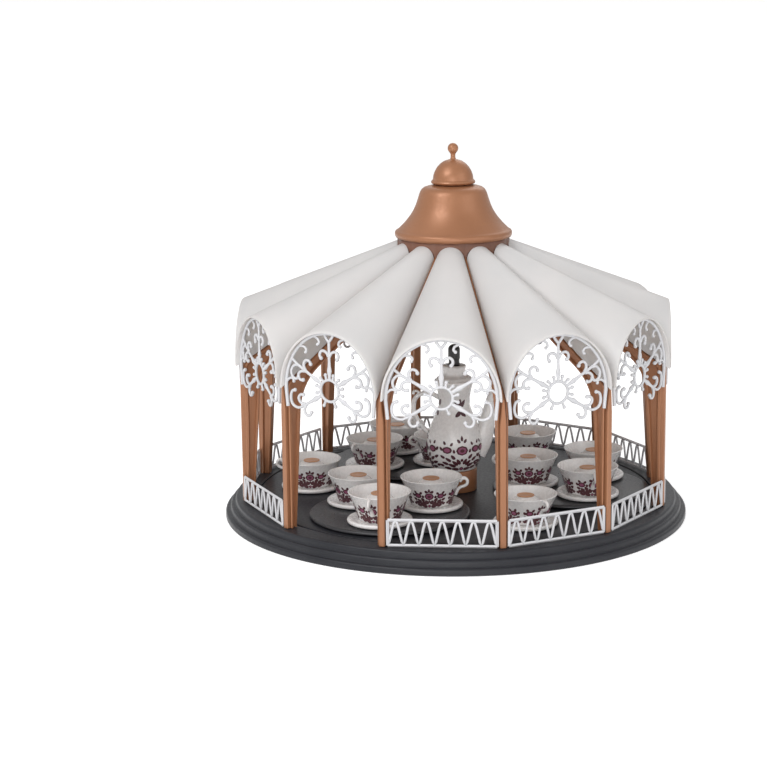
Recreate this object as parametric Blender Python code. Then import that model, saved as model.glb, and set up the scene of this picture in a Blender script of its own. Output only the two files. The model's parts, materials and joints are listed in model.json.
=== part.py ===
"""Teacup merry-go-round, an H0 scale model kit.

A round stepped base carries twelve ribs, each a post that bends over into a
rafter.  Between the ribs sit twelve vaulted canopies with a filigree grille,
and eleven low fences; the twelfth bay is the entrance.  The floor is a
turntable.  Three geared platforms ride on it with three teacups each, and
three more teacups and a coffee pot stand on the turntable itself.

Frame: metres, +Z up, origin in the middle of the underside, the first bay
faces -Y.  Headings are measured about +Z from -Y.
"""

import math

import bmesh
import bpy
from mathutils import Matrix, Vector

MM = 0.001
GAP = 0.3 * MM

# Bays.  The last bay has no fence.
BAYS = 12
BAY_TURN = math.tau / BAYS
ROUND = 36

# Base
BASE_RADIUS = 95.0 * MM
STEP_RISE = 2.6 * MM
STEP_TREAD = 2.1 * MM
NOSE = 0.6 * MM
DECK_Z = 3.0 * STEP_RISE
DECK_THICK = 1.3 * MM
DECK_INNER_RADIUS = 81.8 * MM
SKIRT_INNER_RADIUS = 88.4 * MM
PLATE_RADIUS = 89.3 * MM
PLATE_THICK = 1.2 * MM

# Turntable and its drive
TURNTABLE_RADIUS = 81.0 * MM
TURNTABLE_BOTTOM = 5.9 * MM
RIM_OUTER_RADIUS = 73.0 * MM
RIM_WIDTH = 2.0 * MM
RIM_BOTTOM = 3.8 * MM
PIVOT_RADIUS = 3.0 * MM
PIVOT_TOP = 6.9 * MM
MOTOR_RADIUS = 5.0 * MM
MOTOR_TOP = 3.4 * MM
MOTOR_SHAFT_RADIUS = 0.6 * MM
WHEEL_RADIUS = 4.5 * MM
WHEEL_HEADING = math.radians(165.0)
WHEEL_DISTANCE = RIM_OUTER_RADIUS + GAP + WHEEL_RADIUS

# Planetary gears under the turntable
GEAR_MODULE = 1.9 * MM
SUN_TEETH = 30
PLANET_TEETH = 20
GEAR_ADDENDUM = 0.9 * MM
GEAR_DEDENDUM = 1.4 * MM
GEAR_TOP = 5.3 * MM
PLANET_BOTTOM = 3.3 * MM
SUN_RADIUS = GEAR_MODULE * SUN_TEETH / 2.0
PLANET_RADIUS = GEAR_MODULE * PLANET_TEETH / 2.0
PLATFORM_DISTANCE = SUN_RADIUS + PLANET_RADIUS

# Platforms
PLATFORM_RADIUS = 31.8 * MM
PLATFORM_BOTTOM = 8.4 * MM
PLATFORM_TOP = 9.8 * MM
PLATFORM_FIRST_HEADING = math.radians(-29.5)
PLATFORM_PHASES = [math.radians(angle) for angle in (21.8, 54.7, 106.0)]
SHAFT_RADIUS = 2.5 * MM
RUNNING_FIT = 0.35 * MM

# Teacups: heights are above the underside of the saucer
CUP_RING_RADIUS = 17.2 * MM
SINGLE_CUP_DISTANCE = 59.7 * MM
SINGLE_FIRST_HEADING = math.radians(-89.5)
CUP_SIDES = 12
CUP_PEG_RADIUS = 1.2 * MM
CUP_PEG_LENGTH = 1.1 * MM
CUP_RIM_RADIUS = 12.2 * MM
CUP_FOOT_RADIUS = 8.5 * MM
CUP_HEIGHT = 12.0 * MM
CUP_WALL = 0.7 * MM
SAUCER_RADIUS = 12.5 * MM
SAUCER_EDGE_Z = 1.4 * MM
TABLE_RADIUS = 3.25 * MM
TABLE_TOP = 11.6 * MM
CUP_HANDLE_REACH = 14.8 * MM
CUP_HANDLE_THICK = 1.4 * MM
# Directions in which the handles point, about +Z from +X, in degrees
PLATFORM_CUP_HANDLES = [(0.0, 40.0, -100.0), (-70.0, 180.0, -77.0), (60.0, -123.0, -160.0)]
SINGLE_CUP_HANDLES = [180.0, -52.0, 200.0]

# Coffee pot
STAND_RADIUS = 9.2 * MM
STAND_TOP = 17.0 * MM
POT_SIDES = 16
POT_WALL = 1.2 * MM
POT_TURN = math.radians(5.0)
KNOB_RADIUS = 2.45 * MM
KNOB_BOTTOM = 57.8 * MM
KNOB_TOP = 69.0 * MM

# Ribs
POST_OUTER = 88.0 * MM
POST_INNER_FOOT = 83.4 * MM
POST_INNER_TOP = 80.2 * MM
POST_WIDTH = 4.3 * MM
POST_INNER_WIDTH = 3.2 * MM
RIDGE_WIDTH = 2.4 * MM
RIDGE_DEPTH = 1.4 * MM
FIN_WIDTH = 0.7 * MM
POST_STRAIGHT_TOP = 55.0 * MM
RAFTER_DEPTH = 5.9 * MM
RAFTER_END = 22.3 * MM
TENON_WIDTH = 2.0 * MM
TENON_LENGTH = 1.8 * MM
TENON_DISTANCE = 85.4 * MM

# Canopies: distances are from the axis to the arch's plane
EAVE_DISTANCE = 87.0 * MM
EAVE_HALF_CHORD = 22.5 * MM
EAVE_SPRING_Z = 64.0 * MM
EAVE_CROWN_Z = 87.8 * MM
TOP_DISTANCE = 22.5 * MM
TOP_HALF_CHORD = 5.5 * MM
TOP_SPRING_Z = 106.7 * MM
TOP_CROWN_Z = 112.0 * MM
CANOPY_THICK = 0.9 * MM
ARCH_STEPS = 6

# Grilles and fences stand in the rebates beside the posts' ridges
PANEL_DISTANCE = 85.1 * MM
GRILLE_THICK = 1.0 * MM
GRILLE_HALF_WIDTH = 20.9 * MM
GRILLE_BAND = 1.5 * MM
GRILLE_FOOT_Z = 57.0 * MM
GRILLE_RING_Z = 65.0 * MM
GRILLE_RING_RADIUS = 4.6 * MM
GRILLE_RING_HOLE = 3.5 * MM
GRILLE_RING_SIDES = 6
SPOKE_WIDTH = 1.3 * MM
FENCE_WIDTH = 42.0 * MM
FENCE_BOTTOM = 8.1 * MM
FENCE_TOP = 19.0 * MM
FENCE_BAND = 1.05 * MM
FENCE_THICK = 1.0 * MM
FENCE_WAVES = 7
FENCE_STROKE = 0.9 * MM

# Roof
BELL_SIDES = 20
CROWN_RADIUS = 21.9 * MM
CROWN_WALL = 1.3 * MM
CROWN_BOTTOM = 100.6 * MM
FINIAL_SIDES = 12
BALL_RADIUS = 2.16 * MM
BALL_Z = 148.8 * MM


# ---------------------------------------------------------------- materials

def plastic(name, colour, roughness=0.45):
    """A moulded plastic colour."""
    material = bpy.data.materials.new(name)
    material.use_nodes = True
    shader = material.node_tree.nodes["Principled BSDF"]
    shader.inputs["Base Color"].default_value = (*colour, 1.0)
    shader.inputs["Roughness"].default_value = roughness
    shader.inputs["Metallic"].default_value = 0.0
    material.diffuse_color = (*colour, 1.0)
    return material


COPPER = (0.44, 0.19, 0.09)
WHITE = (0.72, 0.72, 0.74)
GREY = (0.075, 0.076, 0.08)
BLACK = (0.03, 0.028, 0.03)


# -------------------------------------------------------------- mesh makers

def finish(bm, name, smooth_angle=35.0):
    """Close a bmesh into a mesh with its faces pointing out."""
    bmesh.ops.recalc_face_normals(bm, faces=bm.faces)
    mesh = bpy.data.meshes.new(name)
    bm.to_mesh(mesh)
    bm.free()
    mesh.shade_smooth()
    mesh.set_sharp_from_angle(angle=math.radians(smooth_angle))
    return mesh


def ring_of(bm, radius, height, sides):
    """A ring of vertices, or one vertex where the profile meets the axis."""
    if radius == 0.0:
        return [bm.verts.new((0.0, 0.0, height))]
    points = []
    for i in range(sides):
        angle = math.tau * i / sides
        points.append(bm.verts.new((radius * math.cos(angle), radius * math.sin(angle), height)))
    return points


def bridge(bm, lower, upper):
    """Faces between two rings; either may be a single vertex."""
    count = max(len(lower), len(upper))
    for i in range(count):
        j = (i + 1) % count
        if len(lower) == 1:
            bm.faces.new((lower[0], upper[j], upper[i]))
        elif len(upper) == 1:
            bm.faces.new((lower[i], lower[j], upper[0]))
        else:
            bm.faces.new((lower[i], lower[j], upper[j], upper[i]))


def turned(name, profile, sides, closed=False):
    """Turn a profile of (radius, height) about Z; a closed one makes a ring."""
    bm = bmesh.new()
    rings = [ring_of(bm, radius, height, sides) for radius, height in profile]
    for lower, upper in zip(rings, rings[1:]):
        bridge(bm, lower, upper)
    if closed:
        bridge(bm, rings[-1], rings[0])
    else:
        for ring in (rings[0], rings[-1]):
            if len(ring) > 1:
                bm.faces.new(ring)
    return finish(bm, name)


def loft(name, sections):
    """Join equal point loops into one solid with flat ends."""
    bm = bmesh.new()
    loops = [[bm.verts.new(point) for point in section] for section in sections]
    for lower, upper in zip(loops, loops[1:]):
        bridge(bm, lower, upper)
    bm.faces.new(loops[0])
    bm.faces.new(loops[-1])
    return finish(bm, name)


def flat_solid(name, loops, to_point, thick_vector):
    """Fill plane outlines, the first one with the others as holes, and thicken them."""
    bm = bmesh.new()
    for loop in loops:
        verts = [bm.verts.new(to_point(*point)) for point in loop]
        for i, vert in enumerate(verts):
            bm.edges.new((vert, verts[(i + 1) % len(verts)]))
    bmesh.ops.triangle_fill(bm, edges=bm.edges[:], use_beauty=True)
    grown = bmesh.ops.extrude_face_region(bm, geom=bm.faces[:])
    moved = [item for item in grown["geom"] if isinstance(item, bmesh.types.BMVert)]
    bmesh.ops.translate(bm, verts=moved, vec=thick_vector)
    return finish(bm, name)


def panel(name, loops, distance, thick):
    """A flat panel facing -Y, with its middle plane at a distance from the axis."""
    def to_point(x, z):
        return (x, -distance - thick / 2.0, z)
    return flat_solid(name, loops, to_point, Vector((0.0, thick, 0.0)))


def prism(name, loops, bottom, top):
    """An upright prism on outlines in plan."""
    def to_point(x, y):
        return (x, y, bottom)
    return flat_solid(name, loops, to_point, Vector((0.0, 0.0, top - bottom)))


def box(name, size, centre):
    """A box."""
    bm = bmesh.new()
    bmesh.ops.create_cube(bm, size=1.0, matrix=Matrix.Translation(centre) @ Matrix.Diagonal((*size, 1.0)))
    return finish(bm, name)


def tube(name, path, radii, sides):
    """A round bar along points in the XZ plane."""
    sections = []
    for i, point in enumerate(path):
        before = Vector(path[max(i - 1, 0)])
        after = Vector(path[min(i + 1, len(path) - 1)])
        along = (after - before).normalized()
        across = Vector((along.z, 0.0, -along.x))
        section = []
        for j in range(sides):
            angle = math.tau * (j + 0.5) / sides
            section.append(Vector(point) + radii[i] * (math.cos(angle) * across
                                                       + math.sin(angle) * Vector((0.0, 1.0, 0.0))))
        sections.append(section)
    return loft(name, sections)


def combine(mesh, tools, operation="UNION"):
    """Boolean other meshes into, or out of, a mesh and return the result."""
    name = mesh.name
    body = bpy.data.objects.new(name + "_body", mesh)
    bpy.context.collection.objects.link(body)
    helpers = [body]
    for tool in tools:
        helper = bpy.data.objects.new(tool.name + "_tool", tool)
        bpy.context.collection.objects.link(helper)
        helpers.append(helper)
        modifier = body.modifiers.new(tool.name, "BOOLEAN")
        modifier.operation = operation
        modifier.solver = "EXACT"
        modifier.object = helper
    graph = bpy.context.evaluated_depsgraph_get()
    result = bpy.data.meshes.new_from_object(body.evaluated_get(graph), depsgraph=graph)
    for helper in helpers:
        spent = helper.data
        bpy.data.objects.remove(helper)
        bpy.data.meshes.remove(spent)
    result.name = name
    result.materials.clear()
    result.shade_smooth()
    result.set_sharp_from_angle(angle=math.radians(35.0))
    return result


def place(name, mesh, material, location=(0.0, 0.0, 0.0), turn=0.0):
    """Add one named sub-part."""
    if not mesh.materials:
        mesh.materials.append(material)
    item = bpy.data.objects.new(name, mesh)
    item.location = location
    item.rotation_euler = (0.0, 0.0, turn)
    bpy.context.collection.objects.link(item)
    return item


def on_heading(heading, distance, height=0.0):
    """The point at a distance from the axis on a heading measured from -Y."""
    return Vector((distance * math.sin(heading), -distance * math.cos(heading), height))


def cylinder(name, radius, bottom, top, centre=(0.0, 0.0, 0.0), sides=12):
    """An upright cylinder on a point in plan."""
    mesh = turned(name, [(radius, bottom), (radius, top)], sides)
    mesh.transform(Matrix.Translation((centre[0], centre[1], 0.0)))
    return mesh


def gear_outline(teeth, radius, phase):
    """A gear in plan with pointed teeth, one of them at the phase angle."""
    points = []
    for i in range(2 * teeth):
        reach = radius + (GEAR_ADDENDUM if i % 2 == 0 else -GEAR_DEDENDUM)
        angle = phase + math.pi * i / teeth
        points.append((reach * math.cos(angle), reach * math.sin(angle)))
    return points


# --------------------------------------------------------------------- base

def base_ring():
    """The moulded ring: three steps, the deck and the skirt inside it."""
    outside = []
    for i in range(3):
        radius = BASE_RADIUS - i * STEP_TREAD
        outside.append((radius, i * STEP_RISE))
        outside.append((radius, (i + 1) * STEP_RISE - NOSE))
        outside.append((radius - NOSE, (i + 1) * STEP_RISE))
    inside = [
        (DECK_INNER_RADIUS, DECK_Z),
        (DECK_INNER_RADIUS, DECK_Z - DECK_THICK),
        (SKIRT_INNER_RADIUS, DECK_Z - DECK_THICK),
        (SKIRT_INNER_RADIUS, PLATE_THICK + GAP),
        (PLATE_RADIUS + GAP, PLATE_THICK + GAP),
        (PLATE_RADIUS + GAP, 0.0),
    ]
    ring = turned("base_ring", outside + inside, ROUND, closed=True)
    slots = bmesh.new()
    for k in range(BAYS):
        turn = Matrix.Rotation((k + 0.5) * BAY_TURN, 4, "Z")
        middle = Matrix.Translation((0.0, -TENON_DISTANCE, DECK_Z - DECK_THICK / 2.0))
        size = Matrix.Diagonal((TENON_WIDTH + 2.0 * GAP, TENON_WIDTH + 2.0 * GAP, 2.0 * DECK_THICK, 1.0))
        bmesh.ops.create_cube(slots, size=1.0, matrix=turn @ middle @ size)
    return combine(ring, [finish(slots, "slots")], "DIFFERENCE")


def base_plate():
    """The bottom plate with the fixed sun gear and the turntable's pivot moulded on."""
    plate = turned("base_plate", [(PLATE_RADIUS, 0.0), (PLATE_RADIUS, PLATE_THICK)], ROUND)
    root = PLATE_THICK / 2.0
    sun = prism("sun_gear", [gear_outline(SUN_TEETH, SUN_RADIUS, 0.0)], root, GEAR_TOP)
    pivot = cylinder("pivot", PIVOT_RADIUS, GEAR_TOP - root, PIVOT_TOP, sides=16)
    return combine(plate, [sun, pivot])


def turntable():
    """The floor disc with its drive rim, hub socket and bearing holes."""
    top = DECK_Z
    bottom = TURNTABLE_BOTTOM
    rim_inner = RIM_OUTER_RADIUS - RIM_WIDTH
    socket = PIVOT_RADIUS + RUNNING_FIT
    profile = [
        (0.0, PIVOT_TOP + GAP),
        (socket, PIVOT_TOP + GAP),
        (socket, bottom),
        (rim_inner, bottom),
        (rim_inner, RIM_BOTTOM),
        (RIM_OUTER_RADIUS, RIM_BOTTOM),
        (RIM_OUTER_RADIUS, bottom),
        (TURNTABLE_RADIUS, bottom),
        (TURNTABLE_RADIUS, top),
        (0.0, top),
    ]
    disc = turned("turntable", profile, ROUND)
    holes = []
    for k in range(3):
        shaft_at = on_heading(platform_heading(k), PLATFORM_DISTANCE)
        holes.append(cylinder("shaft_hole", SHAFT_RADIUS + RUNNING_FIT, bottom - MM, top + MM, shaft_at))
        peg_at = on_heading(single_heading(k), SINGLE_CUP_DISTANCE)
        holes.append(cylinder("peg_hole", CUP_PEG_RADIUS + RUNNING_FIT, bottom - MM, top + MM, peg_at))
    return combine(disc, holes, "DIFFERENCE")


def drive_motor():
    """A flat motor with its upright shaft."""
    return turned("drive_motor", [
        (MOTOR_RADIUS, PLATE_THICK + GAP),
        (MOTOR_RADIUS, MOTOR_TOP),
        (MOTOR_SHAFT_RADIUS, MOTOR_TOP),
        (MOTOR_SHAFT_RADIUS, GEAR_TOP),
    ], 16)


def drive_wheel():
    """The tyred wheel that turns the turntable by its rim."""
    bore = MOTOR_SHAFT_RADIUS + GAP
    return turned("drive_wheel", [
        (bore, MOTOR_TOP + GAP),
        (WHEEL_RADIUS, MOTOR_TOP + GAP),
        (WHEEL_RADIUS, TURNTABLE_BOTTOM - GAP),
        (bore, TURNTABLE_BOTTOM - GAP),
    ], 16, closed=True)


# ---------------------------------------------------------------- platforms

def platform_heading(k):
    """Heading of platform k."""
    return PLATFORM_FIRST_HEADING + k * math.tau / 3.0


def single_heading(k):
    """Heading of the teacup k that stands on the turntable."""
    return SINGLE_FIRST_HEADING + k * math.tau / 3.0


def planet_phase(k):
    """World angle of one tooth of planet gear k, in mesh with the sun gear."""
    line = platform_heading(k) - math.pi / 2.0
    sun_teeth_to_line = line * SUN_TEETH / math.tau
    offset = sun_teeth_to_line - math.floor(sun_teeth_to_line)
    return line + math.pi + (offset + 0.5) * math.tau / PLANET_TEETH


def platform(k):
    """A turning disc with its shaft and planet gear, and three bearing holes."""
    edge = 0.4 * MM
    collar = 1.6 * SHAFT_RADIUS
    profile = [
        (SHAFT_RADIUS, PLANET_BOTTOM),
        (SHAFT_RADIUS, DECK_Z + GAP),
        (collar, DECK_Z + GAP),
        (collar, PLATFORM_BOTTOM),
        (PLATFORM_RADIUS - edge, PLATFORM_BOTTOM),
        (PLATFORM_RADIUS, PLATFORM_TOP - edge),
        (PLATFORM_RADIUS - edge, PLATFORM_TOP),
    ]
    disc = turned("platform", profile, 24)
    phase = planet_phase(k) - PLATFORM_PHASES[k]
    outline = gear_outline(PLANET_TEETH, PLANET_RADIUS, phase)
    gear = prism("planet_gear", [outline], PLANET_BOTTOM + 0.1 * MM, GEAR_TOP)
    solid = combine(disc, [gear])
    holes = []
    for j in range(3):
        angle = j * math.tau / 3.0
        centre = (CUP_RING_RADIUS * math.cos(angle), CUP_RING_RADIUS * math.sin(angle))
        holes.append(cylinder("peg_hole", CUP_PEG_RADIUS + RUNNING_FIT,
                              PLATFORM_BOTTOM - MM, PLATFORM_TOP + MM, centre))
    return combine(solid, holes, "DIFFERENCE")


# ------------------------------------------------------------------ teacups

def teacup():
    """A teacup on its saucer, with a little table inside and a handle towards +X."""
    inside = CUP_RIM_RADIUS - CUP_WALL
    floor_z = 2.4 * MM
    leg_radius = 1.5 * MM
    profile = [
        (CUP_PEG_RADIUS, -CUP_PEG_LENGTH),
        (CUP_PEG_RADIUS, 0.0),
        (0.8 * SAUCER_RADIUS, 0.0),
        (SAUCER_RADIUS, 0.3 * SAUCER_EDGE_Z),
        (SAUCER_RADIUS, SAUCER_EDGE_Z),
        (CUP_FOOT_RADIUS, 1.1 * SAUCER_EDGE_Z),
        (0.5 * (CUP_FOOT_RADIUS + CUP_RIM_RADIUS) - 0.3 * MM, 0.58 * CUP_HEIGHT),
        (CUP_RIM_RADIUS, CUP_HEIGHT),
        (inside, CUP_HEIGHT),
        (CUP_FOOT_RADIUS - CUP_WALL, floor_z),
        (leg_radius, floor_z),
        (leg_radius, TABLE_TOP - CUP_WALL),
        (TABLE_RADIUS, TABLE_TOP - CUP_WALL),
        (TABLE_RADIUS, TABLE_TOP),
    ]
    bowl = turned("teacup", profile, CUP_SIDES)
    half = CUP_HANDLE_THICK / 2.0
    far = CUP_HANDLE_REACH - half
    path = [
        (11.4 * MM, 0.0, 10.7 * MM),
        (far - 1.0 * MM, 0.0, 11.0 * MM),
        (far, 0.0, 9.4 * MM),
        (far - 0.6 * MM, 0.0, 7.2 * MM),
        (9.7 * MM, 0.0, 4.9 * MM),
    ]
    handle = tube("cup_handle", path, [half] * len(path), 4)
    return combine(bowl, [handle])


def cup_places():
    """Where each teacup stands: location and handle direction, in degrees."""
    places = []
    for k in range(3):
        centre = on_heading(platform_heading(k), PLATFORM_DISTANCE, PLATFORM_TOP + GAP)
        for j in range(3):
            angle = PLATFORM_PHASES[k] + j * math.tau / 3.0
            offset = CUP_RING_RADIUS * Vector((math.cos(angle), math.sin(angle), 0.0))
            places.append((centre + offset, PLATFORM_CUP_HANDLES[k][j]))
    for k in range(3):
        places.append((on_heading(single_heading(k), SINGLE_CUP_DISTANCE, DECK_Z + GAP),
                       SINGLE_CUP_HANDLES[k]))
    return places


# --------------------------------------------------------------- coffee pot

def pot_stand():
    """The round stand under the coffee pot."""
    return turned("pot_stand", [(STAND_RADIUS, DECK_Z + GAP), (STAND_RADIUS, STAND_TOP)], POT_SIDES)


def coffee_pot():
    """The coffee pot with its lid: hollow, open below, socket for the knob on top."""
    foot = STAND_TOP + GAP
    foot_radius = 9.0 * MM
    socket = KNOB_RADIUS + GAP
    outside = [(10.6, 21.0), (11.5, 27.0), (10.8, 32.0), (9.5, 36.0), (7.3, 40.0),
               (6.3, 43.5), (6.6, 47.0), (8.0, 53.5), (7.3, 55.0), (4.8, 56.0), (4.5, 58.0), (4.8, 60.3)]
    inside = [(5.2, 50.0), (5.2, 44.0), (9.6, 31.0), (9.8, 22.0)]
    profile = [(0.0, 52.0 * MM)]
    profile += [(radius * MM, height * MM) for radius, height in inside]
    profile += [(foot_radius - POT_WALL, foot), (foot_radius, foot)]
    profile += [(radius * MM, height * MM) for radius, height in outside]
    profile += [(socket, 60.3 * MM), (socket, KNOB_BOTTOM - GAP), (0.0, KNOB_BOTTOM - GAP)]
    body = turned("coffee_pot", profile, POT_SIDES)
    spout_path = [(9.6, 0.0, 27.5), (13.2, 0.0, 32.5), (14.2, 0.0, 39.0), (15.0, 0.0, 45.0), (17.0, 0.0, 50.0)]
    spout = tube("spout", [Vector(point) * MM for point in spout_path],
                 [radius * MM for radius in (3.4, 2.7, 2.0, 1.6, 1.5)], 8)
    handle_path = [(-6.6, 0.0, 51.0), (-13.0, 0.0, 51.6), (-16.6, 0.0, 48.6), (-16.8, 0.0, 43.0),
                   (-14.6, 0.0, 36.5), (-10.0, 0.0, 32.0)]
    handle = tube("pot_handle", [Vector(point) * MM for point in handle_path], [0.95 * MM] * 6, 6)
    return combine(body, [spout, handle])


def pot_knob():
    """The tall domed knob on the pot's lid."""
    step_z = 63.0 * MM
    return turned("pot_knob", [
        (KNOB_RADIUS - 0.2 * MM, KNOB_BOTTOM),
        (KNOB_RADIUS - 0.2 * MM, step_z),
        (KNOB_RADIUS, step_z),
        (KNOB_RADIUS, KNOB_TOP - 1.9 * MM),
        (0.7 * KNOB_RADIUS, KNOB_TOP - 0.5 * MM),
        (0.0, KNOB_TOP),
    ], 12)


# --------------------------------------------------------------------- ribs

def valley_z(distance):
    """Height of the valley between two canopies at a distance from the axis."""
    corner = math.hypot(EAVE_DISTANCE, EAVE_HALF_CHORD)
    peak = math.hypot(TOP_DISTANCE, TOP_HALF_CHORD)
    slope = (TOP_SPRING_Z - EAVE_SPRING_Z) / (corner - peak)
    return EAVE_SPRING_Z + slope * (corner - distance)


def rib():
    """A post with a ridge on its face that bends over into a rafter, facing -Y."""
    seat = POST_OUTER - RIDGE_DEPTH
    foot = DECK_Z + GAP
    under = 0.4 * MM
    above = 0.9 * MM

    def section(outer, middle, inner, ridge):
        half = POST_WIDTH / 2.0
        slim = POST_INNER_WIDTH / 2.0
        outline = [(-slim, inner), (slim, inner), (half, middle), (ridge, middle),
                   (ridge, outer), (-ridge, outer), (-ridge, middle), (-half, middle)]
        return [(x, -point[0], point[1]) for x, point in outline]

    def rafter(distance):
        top = valley_z(distance)
        return section((distance, top + above), (distance, top - under),
                       (distance, top - under - RAFTER_DEPTH), FIN_WIDTH / 2.0)

    knee = 72.0 * MM
    sections = [
        section((POST_OUTER, foot), (seat, foot), (POST_INNER_FOOT, foot), RIDGE_WIDTH / 2.0),
        section((POST_OUTER, POST_STRAIGHT_TOP), (seat, POST_STRAIGHT_TOP),
                (POST_INNER_TOP, POST_STRAIGHT_TOP), RIDGE_WIDTH / 2.0),
        section((POST_OUTER, valley_z(POST_OUTER) + above), (seat, valley_z(seat) - under),
                (POST_INNER_TOP - MM, 62.5 * MM), FIN_WIDTH / 2.0),
        rafter(knee),
        rafter(RAFTER_END),
    ]
    body = loft("rib", sections)
    tenon = box("tenon", (TENON_WIDTH, TENON_WIDTH, TENON_LENGTH),
                (0.0, -TENON_DISTANCE, foot - TENON_LENGTH / 2.0 + GAP))
    return combine(body, [tenon])


# ----------------------------------------------------- canopies and grilles

def arch(half_chord, spring, crown, steps):
    """Points over a half ellipse, from +X to -X."""
    points = []
    for i in range(steps + 1):
        angle = math.pi * i / steps
        points.append((half_chord * math.cos(angle), spring + (crown - spring) * math.sin(angle)))
    return points


def canopy_arch(distance, inset):
    """The canopy's arch at a distance from the axis, drawn in by an inset."""
    share = (EAVE_DISTANCE - distance) / (EAVE_DISTANCE - TOP_DISTANCE)
    half_chord = EAVE_HALF_CHORD + share * (TOP_HALF_CHORD - EAVE_HALF_CHORD)
    spring = EAVE_SPRING_Z + share * (TOP_SPRING_Z - EAVE_SPRING_Z)
    crown = EAVE_CROWN_Z + share * (TOP_CROWN_Z - EAVE_CROWN_Z)
    return arch(half_chord - inset, spring, crown - inset, ARCH_STEPS)


def canopy():
    """A vaulted shell between the eave and the crown, with the grille under its edge."""
    sections = []
    for distance in (EAVE_DISTANCE, TOP_DISTANCE):
        outline = canopy_arch(distance, 0.0) + canopy_arch(distance, CANOPY_THICK)[::-1]
        sections.append([(x, -distance, z) for x, z in outline])
    shell = loft("canopy", sections)
    return combine(shell, grille())


def grille():
    """The grille's parts: horseshoe band, ring and five spokes."""
    buried = canopy_arch(PANEL_DISTANCE, CANOPY_THICK / 2.0)
    spring = buried[0][1]
    crown = buried[ARCH_STEPS // 2][1]
    inner_half = GRILLE_HALF_WIDTH - GRILLE_BAND
    inner = arch(inner_half, spring, crown - GRILLE_BAND - 0.3 * MM, ARCH_STEPS)
    step = 0.3 * MM
    outline = [(GRILLE_HALF_WIDTH, GRILLE_FOOT_Z), (GRILLE_HALF_WIDTH, spring + step)]
    outline += [point for point in buried[1:-1]]
    outline += [(-GRILLE_HALF_WIDTH, spring + step), (-GRILLE_HALF_WIDTH, GRILLE_FOOT_Z)]
    outline += [(-inner_half, GRILLE_FOOT_Z)] + inner[::-1] + [(inner_half, GRILLE_FOOT_Z)]
    parts = [panel("band", [outline], PANEL_DISTANCE, GRILLE_THICK)]
    turns = [math.tau * i / GRILLE_RING_SIDES for i in range(GRILLE_RING_SIDES)]
    rings = []
    for radius in (GRILLE_RING_RADIUS, GRILLE_RING_HOLE):
        rings.append([(radius * math.cos(turn), GRILLE_RING_Z + radius * math.sin(turn)) for turn in turns])
    parts.append(panel("ring", rings, PANEL_DISTANCE, 0.9 * GRILLE_THICK))
    band_middle = GRILLE_BAND / 2.0
    for side in (-1.0, 0.0, 1.0):
        angle = side * math.radians(60.0)
        start = ring_point(angle)
        if side:
            end = (side * 0.84 * inner_half, spring + 0.58 * (crown - spring))
        else:
            end = (0.0, crown - band_middle - 0.3 * MM)
        parts.append(bar("spoke", [start, end]))
    for side in (-1.0, 1.0):
        start = ring_point(side * math.radians(120.0))
        dip = (side * 14.0 * MM, GRILLE_FOOT_Z + 1.2 * MM)
        end = (side * (inner_half + band_middle), GRILLE_FOOT_Z + 3.2 * MM)
        parts.append(bar("lower_spoke", [start, dip, end]))
    return parts


def ring_point(angle):
    """A point inside the grille ring's band, at an angle from straight up."""
    radius = (GRILLE_RING_RADIUS + GRILLE_RING_HOLE) / 2.0
    return (radius * math.sin(angle), GRILLE_RING_Z + radius * math.cos(angle))


def bar(name, points):
    """A flat bar along plane points in the grille's plane."""
    left = []
    right = []
    for i, point in enumerate(points):
        before = Vector(points[max(i - 1, 0)])
        after = Vector(points[min(i + 1, len(points) - 1)])
        along = (after - before).normalized()
        across = Vector((-along.y, along.x)) * SPOKE_WIDTH / 2.0
        left.append(tuple(Vector(point) + across))
        right.append(tuple(Vector(point) - across))
    return panel(name, [left + right[::-1]], PANEL_DISTANCE, 0.8 * GRILLE_THICK)


# ------------------------------------------------------------------- fences

def fence():
    """A low fence: a frame around one zigzag rail, facing -Y."""
    half = FENCE_WIDTH / 2.0
    low = FENCE_BOTTOM + FENCE_BAND
    high = FENCE_TOP - FENCE_BAND
    pitch = (FENCE_WIDTH - 2.0 * FENCE_BAND) / FENCE_WAVES
    run = pitch / 2.0
    rise = high - low
    slack = FENCE_STROKE / 2.0 * math.hypot(run, rise) / rise
    tip = (run - slack) * rise / run
    loops = [[(-half, FENCE_BOTTOM), (half, FENCE_BOTTOM), (half, FENCE_TOP), (-half, FENCE_TOP)]]
    for i in range(2 * FENCE_WAVES - 1):
        x = -half + FENCE_BAND + (i + 1) * run
        if i % 2 == 0:
            loops.append([(x - run + slack, low), (x + run - slack, low), (x, low + tip)])
        else:
            loops.append([(x - run + slack, high), (x + run - slack, high), (x, high - tip)])
    return panel("fence", loops, PANEL_DISTANCE, FENCE_THICK)


# --------------------------------------------------------------------- roof

def bell_roof():
    """The bell-shaped roof with the crown ring that holds the rafters' ends."""
    crown_inner = CROWN_RADIUS - CROWN_WALL
    inside = [(0.0, 132.4), (11.4, 131.6), (13.6, 125.0), (17.6, 118.8)]
    outside = [(23.0, 113.5), (23.6, 115.0), (23.2, 116.1), (20.3, 118.6), (18.0, 121.1), (16.2, 124.0),
               (14.5, 128.4), (13.5, 131.4), (12.4, 133.0), (8.0, 134.3), (0.0, 134.3)]
    profile = [(radius * MM, height * MM) for radius, height in inside]
    profile += [(crown_inner, 114.0 * MM), (crown_inner, CROWN_BOTTOM)]
    profile += [(CROWN_RADIUS, CROWN_BOTTOM), (CROWN_RADIUS, 113.2 * MM)]
    profile += [(radius * MM, height * MM) for radius, height in outside]
    return turned("bell_roof", profile, BELL_SIDES)


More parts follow.
